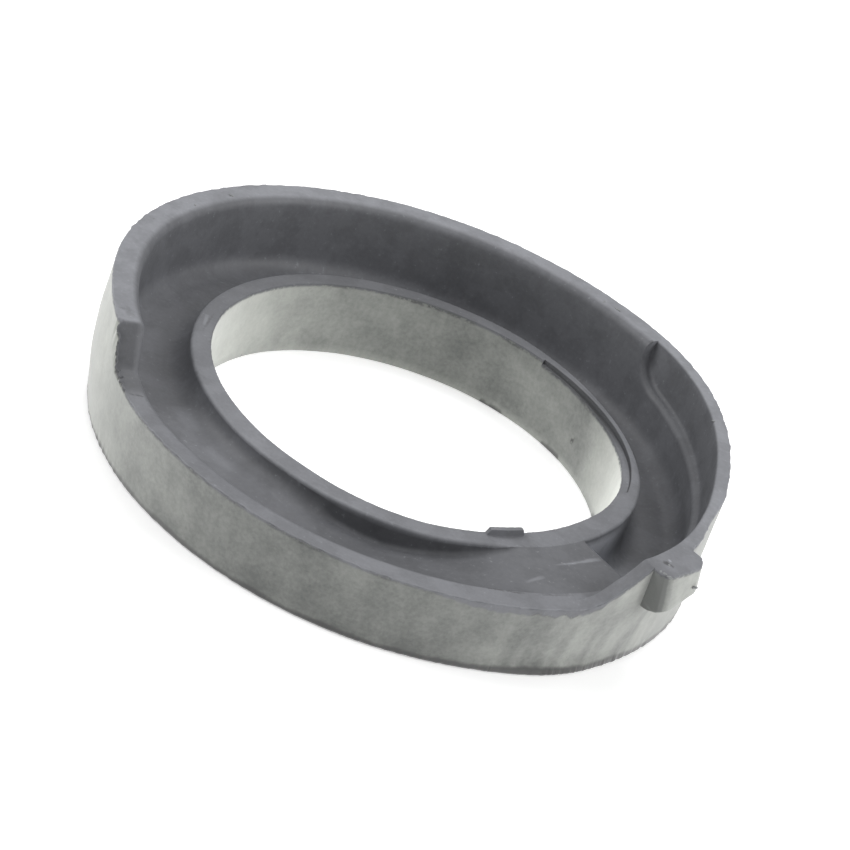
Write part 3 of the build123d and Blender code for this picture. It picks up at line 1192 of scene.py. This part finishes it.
def torn_rubber():
    """Pale, rough skin of the torn flakes."""
    material = new_material("torn_rubber")
    fine = grain(on_object(), 0.5, 3.0, 0.6)
    sockets = {
        "Base Color": mixed(fine, colour(0.14, 0.145, 0.15), colour(0.30, 0.31, 0.31)),
        "Roughness": 0.75 + fine * 0.15,
        "Normal": bumpy(fine, 0.4, 0.0002),
    }
    return finished(material, principled(sockets))


flakes.data.materials.append(torn_rubber())

# %% [markdown]
# The photograph looks down at the ring from the front at about 29 degrees, with a long lens,
# and the camera is rolled, so that the ring seems to hang to the right. The three directions
# below are the camera's own axes before the roll, and its place is given in wall radii.

# %% Camera at the photograph's angle
ELEVATION = math.radians(28.59)
ROLL = math.radians(-22.27)
DISTANCE = 10.65
OFF_RIGHT, OFF_UP = 0.038, 0.175
RADIUS_PIXELS, IMAGE_PIXELS = 333.5, 850
SENSOR = 36.0
back = Vector((0, -math.cos(ELEVATION), math.sin(ELEVATION)))
right = Vector((1, 0, 0))
up = Vector((0, math.sin(ELEVATION), math.cos(ELEVATION)))
across = right * math.cos(ROLL) - up * math.sin(ROLL)
upwards = right * math.sin(ROLL) + up * math.cos(ROLL)
turned = Matrix((across, upwards, back)).transposed().to_4x4()
camera = bpy.data.objects.new("camera", bpy.data.cameras.new("camera"))
bpy.context.scene.collection.objects.link(camera)
camera.data.sensor_width = SENSOR
camera.data.lens = SENSOR * RADIUS_PIXELS * DISTANCE / IMAGE_PIXELS
stand = (back * DISTANCE + right * OFF_RIGHT + up * OFF_UP) * WALL_RADIUS * MM
camera.matrix_world = Matrix.Translation(stand) @ turned
camera.data.clip_start, camera.data.clip_end = 0.01, 50.0
bpy.context.scene.camera = camera
print("lens mm:", round(camera.data.lens, 1))

# %% [markdown]
# The photograph shows the seat cut out on white. A very large pale disc, whose edge never
# shows, stands for the studio's sweep. It glows a little by itself, like a light table, so that
# it stays nearly white round the seat and throws a soft light up at the walls.

# %% Pale floor
FLOOR_RADIUS = 8.0
GLOW = 0.35


def floor_material():
    """Matt and nearly white, with a faint glow."""
    material = new_material("pale_floor")
    mottle = grain(on_object(), 60.0, 3.0)
    sockets = {
        "Base Color": mixed(mottle, colour(0.90, 0.90, 0.90), colour(0.93, 0.93, 0.93)),
        "Roughness": 0.9,
        "Emission Color": colour(1.0, 1.0, 1.0),
        "Emission Strength": GLOW,
    }
    return finished(material, principled(sockets))


disc = bmesh.new()
bmesh.ops.create_circle(disc, cap_ends=True, segments=96, radius=FLOOR_RADIUS)
floor_mesh = bpy.data.meshes.new("floor")
disc.to_mesh(floor_mesh)
disc.free()
floor = bpy.data.objects.new("floor", floor_mesh)
bpy.context.scene.collection.objects.link(floor)
floor.data.materials.append(floor_material())

# %% [markdown]
# The photograph's light is soft and even, with hardly a shadow. One lamp would throw a dark one
# into the channel, so two equal soft lights stand at the left and the right, and a weaker one
# above and behind opens up the channel's near side. A grey-white world is the tent round them.

# %% Lights
WORLD_STRENGTH = 0.36
LIGHTS = (  # name, place, diameter and power
    ("left", (-1.2, -0.15, 0.9), 0.9, 12.0),
    ("right", (1.2, -0.15, 0.9), 0.9, 12.0),
    ("above", (0.0, 0.6, 1.3), 1.2, 9.0),
)

world = bpy.data.worlds.new("tent")
bpy.context.scene.world = world
world.use_nodes = True
world.node_tree.nodes["Background"].inputs["Color"].default_value = colour(1.0, 1.0, 1.0)
world.node_tree.nodes["Background"].inputs["Strength"].default_value = WORLD_STRENGTH
bpy.context.scene.view_settings.view_transform = "Standard"

for name, location, size, power in LIGHTS:
    data = bpy.data.lights.new(name, "AREA")
    data.shape = "DISK"
    data.size = size
    data.energy = power
    lamp = bpy.data.objects.new(name, data)
    lamp.location = location
    lamp.rotation_mode = "QUATERNION"
    lamp.rotation_quaternion = (-Vector(location)).to_track_quat("-Z", "Y")
    lamp.visible_camera = False
    bpy.context.scene.collection.objects.link(lamp)
    print("light", name, "of", power, "W")
